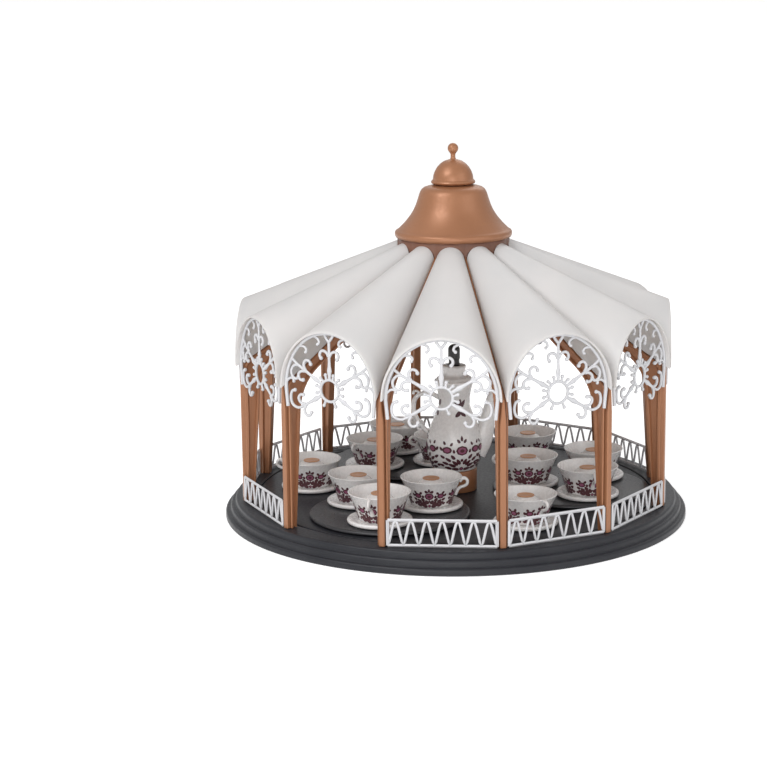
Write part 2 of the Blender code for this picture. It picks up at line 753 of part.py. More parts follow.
def finial():
    """The cap on the bell with its stem and ball."""
    dome = [(8.04, 134.6), (8.95, 135.4), (8.16, 137.0), (7.9, 138.4), (6.45, 141.3), (4.12, 143.5),
            (1.0, 144.4)]
    profile = [(radius * MM, height * MM) for radius, height in dome]
    for i in range(5):
        angle = math.radians(-60.0 + i * 37.5)
        profile.append((BALL_RADIUS * math.cos(angle), BALL_Z + BALL_RADIUS * math.sin(angle)))
    profile[-1] = (0.0, BALL_Z + BALL_RADIUS)
    return turned("finial", profile, FINIAL_SIDES)


# ----------------------------------------------------------------- assembly

def clear_scene():
    """Remove whatever the file holds."""
    for item in list(bpy.data.objects):
        bpy.data.objects.remove(item)


def build():
    """Make every sub-part and put it in place."""
    clear_scene()
    place("base_ring", base_ring(), plastic("grey_base", GREY))
    place("base_plate", base_plate(), plastic("grey_plate", GREY))
    place("turntable", turntable(), plastic("grey_floor", GREY))
    wheel_at = on_heading(WHEEL_HEADING, WHEEL_DISTANCE)
    place("drive_motor", drive_motor(), plastic("motor_can", (0.5, 0.5, 0.5), 0.3), wheel_at)
    place("drive_wheel", drive_wheel(), plastic("wheel_tyre", BLACK, 0.8), wheel_at)
    for k in range(3):
        centre = on_heading(platform_heading(k), PLATFORM_DISTANCE)
        place(f"platform_{k + 1}", platform(k), plastic("grey_platform", GREY), centre, PLATFORM_PHASES[k])
    cup_mesh = teacup()
    cup_white = plastic("cup_white", WHITE, 0.25)
    for k, (location, heading) in enumerate(cup_places()):
        place(f"teacup_{k + 1:02d}", cup_mesh, cup_white, location, math.radians(heading))
    place("pot_stand", pot_stand(), plastic("copper_stand", COPPER))
    place("coffee_pot", coffee_pot(), plastic("pot_white", WHITE, 0.25), turn=POT_TURN)
    place("pot_knob", pot_knob(), plastic("knob_black", BLACK))
    rib_mesh = rib()
    canopy_mesh = canopy()
    fence_mesh = fence()
    rib_copper = plastic("copper_rib", COPPER)
    canopy_white = plastic("canopy_white", WHITE)
    fence_white = plastic("fence_white", WHITE)
    for k in range(BAYS):
        place(f"rib_{k + 1:02d}", rib_mesh, rib_copper, turn=(k + 0.5) * BAY_TURN)
        place(f"canopy_{k + 1:02d}", canopy_mesh, canopy_white, turn=k * BAY_TURN)
        if k < BAYS - 1:
            place(f"fence_{k + 1:02d}", fence_mesh, fence_white, turn=k * BAY_TURN)
    place("bell_roof", bell_roof(), plastic("copper_bell", COPPER))
    place("finial", finial(), plastic("copper_finial", COPPER))


build()
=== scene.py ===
import json
import math

import bpy
from mathutils import Matrix, Vector


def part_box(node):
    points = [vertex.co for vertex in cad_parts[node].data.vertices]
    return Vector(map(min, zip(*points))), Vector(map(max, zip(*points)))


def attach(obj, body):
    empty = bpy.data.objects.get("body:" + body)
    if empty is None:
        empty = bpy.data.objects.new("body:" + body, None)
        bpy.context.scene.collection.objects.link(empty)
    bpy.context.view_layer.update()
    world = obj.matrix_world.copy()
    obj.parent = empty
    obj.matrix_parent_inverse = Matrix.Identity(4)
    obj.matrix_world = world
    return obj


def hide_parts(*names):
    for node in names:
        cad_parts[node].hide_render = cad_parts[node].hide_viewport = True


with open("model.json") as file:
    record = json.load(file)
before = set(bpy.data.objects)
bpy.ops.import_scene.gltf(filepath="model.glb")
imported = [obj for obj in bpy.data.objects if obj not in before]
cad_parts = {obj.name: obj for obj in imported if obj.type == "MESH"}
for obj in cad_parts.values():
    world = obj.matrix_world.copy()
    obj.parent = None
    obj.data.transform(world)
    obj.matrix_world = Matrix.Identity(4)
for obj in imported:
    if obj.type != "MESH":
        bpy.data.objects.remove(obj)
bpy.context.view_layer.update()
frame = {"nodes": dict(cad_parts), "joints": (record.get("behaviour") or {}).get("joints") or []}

# The teacup merry-go-round: a moulded base, copper ribs, milky canopies with
# filigree, low fences, turning platforms with teacups, and a coffee pot.
# Sizes are in metres. Headings run about +Z, from -Y for the bays and from +X
# for the handles and prints.

MM = 0.001
BAYS = 12
BAY_TURN = math.tau / BAYS
ALONG_Y = Vector((0.0, 1.0, 0.0))

# Where each turning body has its axis.
joint_places = {joint["child"]: Vector(joint["pos_m"]) for joint in frame["joints"]}


def top_of(node):
    """Height of a node's top."""
    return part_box(node)[1].z


def bottom_of(node):
    """Height of a node's underside."""
    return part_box(node)[0].z


# ---------------------------------------------------------------- materials

NOISE_LOW = 0.3
NOISE_HIGH = 0.7
BUMP_STRENGTH = 0.5
FLOW_SCALE = 45.0
FLOW_STRETCH = (1.0, 1.0, 0.35)


def new_finish(name):
    """An empty node material: the material, its nodes, links and shader."""
    finish = bpy.data.materials.new(name)
    finish.use_nodes = True
    nodes = finish.node_tree.nodes
    return finish, nodes, finish.node_tree.links, nodes["Principled BSDF"]


def cloudy(nodes, links, scale, detail, stretch=(1.0, 1.0, 1.0)):
    """Soft noise on Object coordinates; scale is its number of blobs to a metre."""
    place = nodes.new("ShaderNodeTexCoord")
    spread = nodes.new("ShaderNodeMapping")
    spread.inputs["Scale"].default_value = stretch
    noise = nodes.new("ShaderNodeTexNoise")
    noise.inputs["Scale"].default_value = scale
    noise.inputs["Detail"].default_value = detail
    links.new(place.outputs["Object"], spread.inputs["Vector"])
    links.new(spread.outputs["Vector"], noise.inputs["Vector"])
    return noise.outputs["Fac"]


def ramp(nodes, links, source, stops):
    """A colour ramp over a grey value; stops are (position, colour)."""
    band = nodes.new("ShaderNodeValToRGB")
    links.new(source, band.inputs["Fac"])
    elements = band.color_ramp.elements
    while len(elements) < len(stops):
        elements.new(0.5)
    for element, (position, colour) in zip(elements, stops):
        element.position = position
        element.color = (*colour, 1.0)
    return band.outputs["Color"]


def spread(nodes, links, source, low, high):
    """The noise's usual grey values spread between two numbers."""
    fit = nodes.new("ShaderNodeMapRange")
    fit.inputs["From Min"].default_value = NOISE_LOW
    fit.inputs["From Max"].default_value = NOISE_HIGH
    fit.inputs["To Min"].default_value = low
    fit.inputs["To Max"].default_value = high
    links.new(source, fit.inputs["Value"])
    return fit.outputs["Result"]


def dimple(nodes, links, shader, source, depth):
    """A fine bump on the shader's normal."""
    bump = nodes.new("ShaderNodeBump")
    bump.inputs["Strength"].default_value = BUMP_STRENGTH
    bump.inputs["Distance"].default_value = depth
    links.new(source, bump.inputs["Height"])
    links.new(bump.outputs["Normal"], shader.inputs["Normal"])


def moulded(name, dark, light, roughness, grain=900.0, depth=0.02 * MM, coat=0.0, metallic=0.0,
            gloss=0.5):
    """Moulded plastic: slow flow marks in the colour, fine grain in gloss and bump."""
    finish, nodes, links, shader = new_finish(name)
    flow = cloudy(nodes, links, FLOW_SCALE, 4.0, FLOW_STRETCH)
    colour = ramp(nodes, links, flow, [(NOISE_LOW, dark), (NOISE_HIGH, light)])
    links.new(colour, shader.inputs["Base Color"])
    fine = cloudy(nodes, links, grain, 3.0)
    uneven = spread(nodes, links, fine, roughness - 0.06, roughness + 0.07)
    links.new(uneven, shader.inputs["Roughness"])
    dimple(nodes, links, shader, fine, depth)
    shader.inputs["Metallic"].default_value = metallic
    shader.inputs["Specular IOR Level"].default_value = gloss
    shader.inputs["Coat Weight"].default_value = coat
    shader.inputs["Coat Roughness"].default_value = 0.25
    return finish


def grey_plastic():
    """Satin dark grey of the base and floor."""
    return moulded("dark_grey_plastic", (0.018, 0.019, 0.024), (0.027, 0.028, 0.033), 0.40, gloss=0.3)


def platform_plastic():
    """The platforms' grey, a shade lighter."""
    return moulded("platform_grey_plastic", (0.032, 0.032, 0.036), (0.044, 0.044, 0.048), 0.32, gloss=0.4)


def copper_plastic():
    """Copper-brown pearl plastic of ribs, roof and stand."""
    return moulded("copper_plastic", (0.31, 0.133, 0.062), (0.365, 0.161, 0.078), 0.40,
                   coat=0.1, metallic=0.30)


def white_plastic():
    """Clean white of fences and grilles."""
    return moulded("white_plastic", (0.58, 0.58, 0.60), (0.63, 0.63, 0.65), 0.38, coat=0.2)


def cup_plastic():
    """Glossy warm white of the crockery."""
    finish = moulded("crockery_white", (0.745, 0.72, 0.71), (0.79, 0.77, 0.76), 0.27,
                     depth=0.004 * MM, coat=0.4)
    shader = finish.node_tree.nodes["Principled BSDF"]
    shader.inputs["Subsurface Weight"].default_value = 0.12
    shader.inputs["Subsurface Radius"].default_value = (1.0, 0.8, 0.7)
    shader.inputs["Subsurface Scale"].default_value = 0.6 * MM
    return finish


LIGHT_THROUGH = 0.30


def canopy_plastic():
    """Thin milky plastic that lets some light through."""
    finish = moulded("milky_canopy_plastic", (0.70, 0.71, 0.725), (0.76, 0.76, 0.77), 0.42,
                     grain=500.0, coat=0.1)
    nodes = finish.node_tree.nodes
    links = finish.node_tree.links
    glow = nodes.new("ShaderNodeBsdfTranslucent")
    glow.inputs["Color"].default_value = (0.96, 0.86, 0.76, 1.0)
    blend = nodes.new("ShaderNodeMixShader")
    blend.inputs["Fac"].default_value = LIGHT_THROUGH
    links.new(nodes["Principled BSDF"].outputs["BSDF"], blend.inputs[1])
    links.new(glow.outputs["BSDF"], blend.inputs[2])
    links.new(blend.outputs["Shader"], nodes["Material Output"].inputs["Surface"])
    return finish


def black_plastic():
    """Satin black of the knob."""
    return moulded("black_plastic", (0.024, 0.022, 0.024), (0.038, 0.035, 0.036), 0.42)


def steel():
    """Plain steel of the motor can."""
    return moulded("plain_steel", (0.42, 0.42, 0.43), (0.52, 0.52, 0.53), 0.33, metallic=0.9)


def tyre_rubber():
    """Matt rubber of the friction wheel."""
    return moulded("tyre_rubber", (0.018, 0.018, 0.018), (0.03, 0.03, 0.03), 0.8)


def print_ink(name, dark, light):
    """Printed colour, a little uneven like a fired transfer."""
    return moulded(name, dark, light, 0.36, grain=2500.0, depth=0.005 * MM)


# ------------------------------------------------------------ modelling tools

def clear_selection():
    """Nothing selected, and no edit mode."""
    if bpy.context.object and bpy.context.object.mode != "OBJECT":
        bpy.ops.object.mode_set(mode="OBJECT")
    bpy.ops.object.select_all(action="DESELECT")


WELD = 0.0005 * MM


def skin(name, rows, round_rows=False, fill=False, smooth=35.0):
    """A grid primitive laid over rows of points; round rows close on themselves."""
    if round_rows:
        rows = [list(row) + [row[0]] for row in rows]
    clear_selection()
    bpy.ops.mesh.primitive_grid_add(x_subdivisions=len(rows[0]) - 1, y_subdivisions=len(rows) - 1,
                                    size=1.0)
    piece = bpy.context.object
    piece.name = name
    piece.data.name = name
    flat = [number for row in rows for point in row for number in point]
    piece.data.vertices.foreach_set("co", flat)
    bpy.ops.object.mode_set(mode="EDIT")
    bpy.ops.mesh.select_all(action="SELECT")
    bpy.ops.mesh.remove_doubles(threshold=WELD)
    if fill:
        bpy.ops.mesh.fill_holes(sides=0)
        bpy.ops.mesh.select_all(action="SELECT")
    bpy.ops.mesh.normals_make_consistent(inside=False)
    bpy.ops.object.mode_set(mode="OBJECT")
    bpy.ops.object.shade_smooth_by_angle(angle=math.radians(smooth))
    return piece


def join(name, parts):
    """Join parts into the first one."""
    clear_selection()
    for part in parts:
        part.select_set(True)
    bpy.context.view_layer.objects.active = parts[0]
    bpy.ops.object.join()
    parts[0].name = name
    parts[0].data.name = name
    return parts[0]


def copy_of(piece, name, matrix):
    """A copy with its own mesh, moved by a matrix."""
    other = piece.copy()
    other.data = piece.data.copy()
    other.name = name
    other.data.name = name
    other.data.transform(matrix)
    bpy.context.scene.collection.objects.link(other)
    return other


def discard(piece):
    """Remove a pattern piece once its copies are made."""
    bpy.data.objects.remove(piece)


def ring_points(radius, height, sides, start=0.0):
    """Points around the Z axis."""
    points = []
    for i in range(sides):
        angle = start + math.tau * i / sides
        points.append((radius * math.cos(angle), radius * math.sin(angle), height))
    return points


def turned(name, profile, sides, smooth=35.0):
    """A piece turned about +Z from a profile of (radius, height)."""
    rows = [ring_points(radius, height, sides) for radius, height in profile]
    return skin(name, rows, round_rows=True, smooth=smooth)


def smooth_line(points, steps):
    """A smooth curve through points."""
    points = [Vector(point) for point in points]
    padded = [2 * points[0] - points[1]] + points + [2 * points[-1] - points[-2]]
    result = []
    for a, b, c, d in zip(padded, padded[1:], padded[2:], padded[3:]):
        for i in range(steps):
            t = i / steps
            result.append(0.5 * (2 * b + (c - a) * t + (2 * a - 5 * b + 4 * c - d) * t * t
                                 + (3 * b - a - 3 * c + d) * t ** 3))
    result.append(points[-1])
    return result


def millimetres(points):
    """Points given in millimetres, in metres."""
    return [tuple(number * MM for number in point) for point in points]


def smooth_profile(points):
    """A smooth profile for turning, through (radius, height) given in millimetres."""
    line = smooth_line([(radius, height, 0.0) for radius, height in millimetres(points)], 4)
    return [(point.x, point.y) for point in line]


def side_line(points):
    """A smooth line in the XZ plane, through (x, z) given in millimetres."""
    return smooth_line(millimetres([(x, 0.0, z) for x, z in points]), 5)


def rod(name, path, radii, sides=8, flat=1.0):
    """A bar along a path in an XZ plane; flat is its thickness along Y against its width."""
    path = [Vector(point) for point in path]
    if not isinstance(radii, list):
        radii = [radii] * len(path)
    rows = []
    for i, point in enumerate(path):
        along = (path[min(i + 1, len(path) - 1)] - path[max(i - 1, 0)]).normalized()
        across = along.cross(ALONG_Y).normalized()
        row = []
        for j in range(sides):
            angle = math.tau * j / sides
            row.append(point + radii[i] * (math.cos(angle) * across + flat * math.sin(angle) * ALONG_Y))
        rows.append(row)
    return skin(name, rows, round_rows=True, fill=True, smooth=50.0)


def bead(name, centre, radius):
    """A small ball."""
    clear_selection()
    bpy.ops.mesh.primitive_uv_sphere_add(segments=10, ring_count=6, radius=radius, location=centre)
    piece = bpy.context.object
    piece.name = name
    bpy.ops.object.transform_apply(location=True, rotation=True, scale=True)
    bpy.ops.object.shade_smooth()
    return piece


def bay_turn(k):
    """Matrix that turns a piece made in the first bay to bay k."""
    return Matrix.Rotation(k * BAY_TURN, 4, "Z")


def fit_out(piece, body, finish, slot, *nodes):
    """Give a piece its finish, its body and the nodes it stands for."""
    if finish is not None:
        piece.data.materials.clear()
        piece.data.materials.append(finish)
    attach(piece, body)
    if nodes:
        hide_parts(*nodes)
    return piece


# --------------------------------------------------------------------- base

BASE_SIDES = 192
STEPS = 3
STEP_RISE = 2.6 * MM
STEP_TREAD = 2.1 * MM
STEP_NOSE = 1.05 * MM
GAP_RADIUS = 81.75 * MM
DECK_THICK = 1.3 * MM
SKIRT_INSIDE = 88.4 * MM
SKIRT_OUTSIDE = 89.6 * MM
SKIRT_LIFT = 1.5 * MM


def moulded_base():
    """Three rounded steps and the deck, with the gap line round the turntable."""
    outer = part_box("base_ring")[1].x
    deck = top_of("base_ring")
    profile = [(outer, 0.0)]
    for i in range(STEPS):
        radius = outer - i * STEP_TREAD
        rise = i * STEP_RISE
        if i:
            profile.append((radius + 0.55 * MM, rise))
            profile.append((radius + 0.12 * MM, rise + 0.35 * MM))
        for j in range(6):
            angle = math.radians(j * 18.0)
            profile.append((radius - STEP_NOSE + STEP_NOSE * math.cos(angle),
                            rise + STEP_RISE - STEP_NOSE + STEP_NOSE * math.sin(angle)))
    under = deck - DECK_THICK
    eased = 0.25 * MM
    profile += [(GAP_RADIUS + eased, deck), (GAP_RADIUS, deck - eased), (GAP_RADIUS, under),
                (SKIRT_INSIDE, under), (SKIRT_INSIDE, SKIRT_LIFT), (SKIRT_OUTSIDE, SKIRT_LIFT),
                (SKIRT_OUTSIDE, 0.0), profile[0]]
    piece = turned("moulded_base", profile, BASE_SIDES)
    return fit_out(piece, "stand", grey, "grey_plastic", "base_ring")


FLOOR_UNDER = 5.9 * MM
HUB_RADIUS = 3.35 * MM
HUB_ROOF = 7.2 * MM
RIM_INSIDE = 71.0 * MM
RIM_OUTSIDE = 73.0 * MM


def floor_disc():
    """The turntable with eased edge, drive rim and hub socket."""
    top = top_of("turntable")
    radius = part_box("turntable")[1].x
    low = bottom_of("turntable")
    profile = [(0.0, HUB_ROOF), (HUB_RADIUS, HUB_ROOF), (HUB_RADIUS, FLOOR_UNDER),
               (RIM_INSIDE, FLOOR_UNDER), (RIM_INSIDE, low), (RIM_OUTSIDE, low), (RIM_OUTSIDE, FLOOR_UNDER),
               (radius - 0.2 * MM, FLOOR_UNDER), (radius, FLOOR_UNDER + 0.2 * MM),
               (radius, top - 0.35 * MM), (radius - 0.1 * MM, top - 0.1 * MM), (radius - 0.35 * MM, top),
               (radius - 8.0 * MM, top), (radius - 30.0 * MM, top), (20.0 * MM, top), (0.0, top)]
    piece = turned("floor_disc", profile, BASE_SIDES)
    return fit_out(piece, "turntable", grey, "grey_plastic", "turntable")


PLATFORM_RADIUS = 31.8 * MM
PLATFORM_UNDER = 8.4 * MM
COLLAR_RADIUS = 4.0 * MM
COLLAR_UNDER = 8.1 * MM
SHAFT_RADIUS = 2.5 * MM
GEAR_TEETH = 20
SUN_TEETH = 30
GEAR_PITCH = 19.0 * MM
GEAR_TOP = 5.3 * MM
# One tooth's outline as (share of a tooth's turn, reach past the pitch circle).
GEAR_TOOTH = ((-0.36, -1.4 * MM), (-0.08, 0.9 * MM), (0.08, 0.9 * MM), (0.36, -1.4 * MM))


def platforms():
    """The three turning discs, each with its shaft and planet gear."""
    radius = PLATFORM_RADIUS
    under = PLATFORM_UNDER
    for k in range(3):
        node = f"platform_{k + 1}"
        centre = joint_places[node]
        low = bottom_of(node)
        top = top_of(node)
        profile = [(0.0, low), (SHAFT_RADIUS, low), (SHAFT_RADIUS, COLLAR_UNDER),
                   (COLLAR_RADIUS, COLLAR_UNDER), (COLLAR_RADIUS, under), (radius - 0.9 * MM, under),
                   (radius - 0.25 * MM, under + 0.15 * MM), (radius, under + 0.5 * MM),
                   (radius - 0.05 * MM, top - 0.55 * MM), (radius - 0.35 * MM, top - 0.2 * MM),
                   (radius - 0.9 * MM, top - 0.05 * MM), (radius - 1.5 * MM, top),
                   (radius - 14.0 * MM, top), (0.0, top)]
        disc = turned(f"cup_platform_{k + 1}", profile, 128)
        disc.data.transform(Matrix.Translation((centre.x, centre.y, 0.0)))
        fit_out(disc, node, platform_grey, "grey_plastic", node)
        fit_out(planet_gear(k, centre, low), node, platform_grey, "grey_plastic")


def planet_gear(k, centre, low):
    """A planet gear under a platform, turned so that its teeth mesh with the sun gear's."""
    line = math.atan2(centre.y, centre.x)
    offset = line * SUN_TEETH / math.tau
    offset -= math.floor(offset)
    phase = line + math.pi + (offset + 0.5) * math.tau / GEAR_TEETH
    outline = []
    for i in range(GEAR_TEETH):
        for share, reach in GEAR_TOOTH:
            outline.append((GEAR_PITCH + reach, phase + math.tau / GEAR_TEETH * (i + share)))
    rows = []
    for height in (low + 0.1 * MM, GEAR_TOP):
        rows.append([(centre.x + reach * math.cos(angle), centre.y + reach * math.sin(angle), height)
                     for reach, angle in outline])
    return skin(f"planet_gear_{k + 1}", rows, round_rows=True, fill=True)


# --------------------------------------------------------------- crockery

TEACUPS = 12
CUP_PEG = 1.1 * MM
CUP_WALL = smooth_profile([(8.3, 1.9), (8.55, 2.6), (9.1, 4.4), (9.85, 6.6), (10.7, 8.8), (11.5, 10.6),
                           (12.25, 12.0)])


def surface_radius(profile, height):
    """Radius of a turned surface at a height."""
    for (r0, z0), (r1, z1) in zip(profile, profile[1:]):
        if z0 <= height <= z1:
            return r0 + (r1 - r0) * (height - z0) / (z1 - z0)
    return profile[-1][0] if height > profile[-1][1] else profile[0][0]


def cup_body():
    """The cup with its foot, flared rim and the white cone that carries the table."""
    outside = [(7.2 * MM, 1.3 * MM), (8.1 * MM, 1.45 * MM)] + CUP_WALL
    rim = millimetres([(12.3, 12.12), (12.22, 12.24), (12.05, 12.28), (11.85, 12.2), (11.7, 12.0)])
    inside = millimetres([(11.0, 10.3), (10.1, 8.2), (9.3, 6.0), (8.6, 4.7), (8.0, 4.6), (7.3, 5.8),
                          (6.5, 7.7), (5.6, 9.3), (4.5, 10.4), (3.5, 11.0), (3.1, 11.2), (0.0, 11.2)])
    return turned("cup", outside + rim + inside, 72, smooth=60.0)


def saucer():
    """The round saucer with a thick rolled edge."""
    return turned("saucer", millimetres([
        (0.0, 0.0), (9.6, 0.0), (10.8, 0.05), (12.1, 0.16), (12.55, 0.42), (12.7, 0.9), (12.62, 1.4),
        (12.3, 1.72), (11.9, 1.8), (11.2, 1.7), (10.0, 1.42), (9.2, 1.3), (7.0, 1.3), (0.0, 1.3),
    ]), 72, smooth=60.0)


def cup_handle():
    """An ear-shaped handle towards +X, thicker where it joins the cup."""
    path = side_line([(11.3, 10.6), (12.3, 11.5), (13.5, 11.6), (14.4, 10.7), (14.25, 9.3), (13.1, 8.4),
                      (11.8, 8.0), (10.8, 7.2), (10.1, 6.2), (9.4, 5.0)])
    radii = []
    for i in range(len(path)):
        share = i / (len(path) - 1)
        radii.append((0.62 + 0.35 * abs(2.0 * share - 1.0) ** 3) * MM)
    return rod("cup_handle", path, radii, sides=10, flat=0.95)


def cup_table():
    """The copper table top in the middle of the cup."""
    return turned("cup_table", millimetres([
        (0.0, 11.25), (3.2, 11.25), (3.38, 11.32), (3.42, 11.45), (3.34, 11.57), (3.1, 11.62), (2.7, 11.6),
        (2.5, 11.53), (0.0, 11.53),
    ]), 48, smooth=40.0)


PRINT_LIFT = 0.03 * MM
PETAL_SIDES = 8
LEAF_TAPER = 0.25
LEAF_STRETCH = 1.12


def petal(shape, place, at, length, width, heading, ink, lift=1.0):
    """One leaf or petal of a printed sprig, laid on a surface by the place function."""
    verts, faces, inks = shape
    start = len(verts)
    cos = math.cos(heading)
    sin = math.sin(heading)
    taper = LEAF_TAPER if length > 1.2 * width else 0.0
    outline = [(0.0, 0.0)]
    for j in range(PETAL_SIDES):
        angle = math.tau * j / PETAL_SIDES
        narrow = 1.0 - taper * math.cos(angle)
        outline.append((0.5 * length * math.cos(angle), 0.5 * width * math.sin(angle) * narrow))
    for along, across in outline:
        u = at[0] + along * cos - across * sin
        v = at[1] + along * sin + across * cos
        verts.append(place(u, v, lift * PRINT_LIFT))
    for j in range(PETAL_SIDES):
        faces.append((start, start + 1 + j, start + 1 + (j + 1) % PETAL_SIDES))
        inks.append(ink)


DARK = 0
ROSE = 1

# The right half of a sprig as (across, up, length, width, heading in degrees),
# in units of the sprig's size; the left half is its mirror image.
SPRIG_LEAVES = (
    (0.15, 0.36, 0.32, 0.12, 66.0), (0.31, 0.31, 0.34, 0.12, 47.0), (0.45, 0.22, 0.36, 0.12, 26.0),
    (0.40, 0.54, 0.28, 0.11, 58.0), (0.62, 0.44, 0.30, 0.11, 40.0), (0.77, 0.30, 0.30, 0.11, 22.0),
    (0.88, 0.54, 0.24, 0.10, 38.0), (0.30, 0.07, 0.36, 0.12, 8.0), (0.66, 0.11, 0.34, 0.11, 12.0),
    (0.95, 0.22, 0.22, 0.10, 24.0), (0.36, 0.76, 0.20, 0.08, 84.0), (0.93, 0.84, 0.22, 0.09, 62.0),
    (0.46, 1.02, 0.20, 0.08, 112.0), (0.78, 1.06, 0.20, 0.08, 72.0), (0.15, 1.13, 0.22, 0.09, 62.0),
    (0.66, 0.80, 0.40, 0.40, 0.0),
)
SPRIG_BLOOMS = ((0.66, 0.80, 0.24, 0.24, 0.0),)
# What lies on the sprig's middle line, with its ink and its lift as well.
SPRIG_MIDDLE = (
    (0.0, 0.78, 0.54, 0.54, 90.0, DARK, 1.0), (0.0, 0.78, 0.38, 0.38, 90.0, ROSE, 2.0),
    (0.0, 0.78, 0.20, 0.20, 90.0, DARK, 3.0), (0.0, 1.22, 0.30, 0.12, 90.0, DARK, 1.0),
    (0.0, 0.42, 0.20, 0.13, 90.0, DARK, 1.0), (0.0, 0.08, 0.22, 0.22, 0.0, DARK, 1.0),
    (0.0, 0.08, 0.12, 0.12, 0.0, ROSE, 2.0),
)


def sprig(shape, place, size, tall, weight):
    """A symmetrical folk sprig: a bloom with a crown, two side blooms and fans of leaves."""
    for lift, ink, motifs in ((1.0, DARK, SPRIG_LEAVES), (2.0, ROSE, SPRIG_BLOOMS)):
        for across, up, length, width, heading in motifs:
            thick = weight if length > width else 1.0
            for side in (-1.0, 1.0):
                lean = math.radians(90.0 - side * (90.0 - heading))
                petal(shape, place, (side * size * across, size * tall * up),
                      size * length * LEAF_STRETCH, size * width * thick, lean, ink, lift)
    for across, up, length, width, heading, ink, lift in SPRIG_MIDDLE:
        petal(shape, place, (across, size * tall * up), size * length, size * width,
              math.radians(heading), ink, lift)


def printed(name, shape):
    """The mesh of a print with its two inks."""
    verts, faces, inks = shape
    mesh = bpy.data.meshes.new(name)
    mesh.from_pydata(verts, [], faces)
    mesh.materials.append(ink_dark)
    mesh.materials.append(ink_rose)
    mesh.polygons.foreach_set("material_index", inks)
    mesh.update()
    piece = bpy.data.objects.new(name, mesh)
    bpy.context.scene.collection.objects.link(piece)
    return piece


def wrapped(profile, heading, base, clear=1.0):
    """A place function that wraps a flat drawing round a turned surface; clear scales its lift."""
    middle = surface_radius(profile, base)

    def place(u, v, lift):
        height = base + v
        radius = surface_radius(profile, height) + clear * lift
        angle = heading + u / middle
        return (radius * math.cos(angle), radius * math.sin(angle), height)
    return place


def cup_print():
    """Four sprigs round a cup."""
    shape = ([], [], [])
    for k in range(4):
        place = wrapped(CUP_WALL, math.radians(90.0 * k - 89.0), 1.75 * MM)
        sprig(shape, place, 5.9 * MM, 1.0, 2.0)
    return printed("cup_print", shape)


def handle_heading(node, centre):
    """Direction in which a teacup's handle points, about +Z from +X."""
    farthest = max(frame["nodes"][node].data.vertices, key=lambda vert: (vert.co.xy - centre.xy).length)
    return math.atan2(farthest.co.y - centre.y, farthest.co.x - centre.x)


def teacups():
    """Every cup stands on its saucer, with its handle, table and print."""
    cup = join("cup", [cup_body(), cup_handle()])
    dish = saucer()
    table = cup_table()
    transfer = cup_print()
    for k in range(TEACUPS):
        node = f"teacup_{k + 1:02d}"
        centre = joint_places[node]
        turn = Matrix.Rotation(handle_heading(node, centre), 4, "Z")
        stand = Matrix.Translation((centre.x, centre.y, bottom_of(node) + CUP_PEG)) @ turn
        fit_out(copy_of(cup, f"cup_{k + 1:02d}", stand), node, crockery, "white_plastic", node)
        fit_out(copy_of(dish, f"saucer_{k + 1:02d}", stand), node, crockery, "white_plastic")
        # The table's brighter copper is partly its own paint and partly painted light.
        fit_out(copy_of(table, f"cup_table_{k + 1:02d}", stand), node, lit_table_copper, "copper_plastic")
        fit_out(copy_of(transfer, f"cup_print_{k + 1:02d}", stand), node, None, "white_plastic")
    for pattern in (cup, dish, table, transfer):
        discard(pattern)


# --------------------------------------------------------------- coffee pot

POT_TURN = math.radians(5.0)
NECK_TURN = math.radians(5.0)
POT_WALL = smooth_profile([(8.9, 17.3), (9.6, 18.6), (10.6, 21.0), (11.35, 24.5), (11.55, 27.5),
                           (11.3, 30.5), (10.6, 33.2), (9.4, 36.2), (8.1, 38.9), (7.1, 41.3), (6.45, 43.8),
                           (6.4, 46.0), (6.8, 48.8), (7.5, 51.8), (8.0, 53.3)])


def pot_body():
    """The pot's body, neck and lid, hollow from below."""
    lid = millimetres([(8.15, 53.7), (8.1, 54.1), (7.8, 54.3), (7.5, 54.35), (7.35, 54.6), (7.1, 55.1),
                       (6.2, 55.7), (5.1, 56.1), (4.75, 56.5), (4.6, 57.3), (4.6, 58.3), (4.85, 59.4),
                       (4.85, 60.1), (4.65, 60.3), (2.9, 60.3), (2.75, 60.1), (2.75, 57.5), (0.0, 57.5)])
    inside = millimetres([(0.0, 52.0), (5.2, 50.0), (5.2, 44.0), (9.6, 31.0), (9.8, 22.0), (7.8, 17.3)])
    return turned("pot_body", inside + POT_WALL + lid, 96, smooth=50.0)


def pot_spout():
    """The spout: broad where it leaves the body, slender and open at its lip."""
    path = side_line([(8.2, 24.5), (11.0, 28.5), (12.9, 33.5), (14.0, 39.5), (15.2, 45.5), (16.9, 50.2)])
    radii = []
    for i in range(len(path)):
        share = i / (len(path) - 1)
        radii.append((5.6 - 5.2 * share + 1.3 * share ** 3) * MM)
    return rod("pot_spout", path + [path[-3]], radii + [0.6 * radii[-1]], sides=20, flat=0.8)


def pot_handle():
    """The pot's ear handle with a scroll at its foot and a thumb rest on top."""
    ear = side_line([(-6.2, 46.6), (-9.5, 48.4), (-13.2, 48.4), (-15.9, 46.6), (-16.8, 43.2),
                     (-16.2, 39.6), (-14.4, 36.2), (-12.2, 33.4), (-10.4, 31.8), (-9.2, 31.2)])
    curl = side_line([(-12.4, 34.6), (-13.6, 33.4), (-14.6, 33.2), (-15.1, 34.1), (-14.5, 34.9)])
    thumb = side_line([(-13.8, 48.0), (-15.2, 49.4), (-16.6, 49.3), (-16.8, 48.2)])
    return [rod("pot_handle", ear, 0.95 * MM, sides=12, flat=1.1),
            rod("pot_curl", curl, 0.6 * MM, sides=10),
            rod("pot_thumb_rest", thumb, 0.55 * MM, sides=10)]


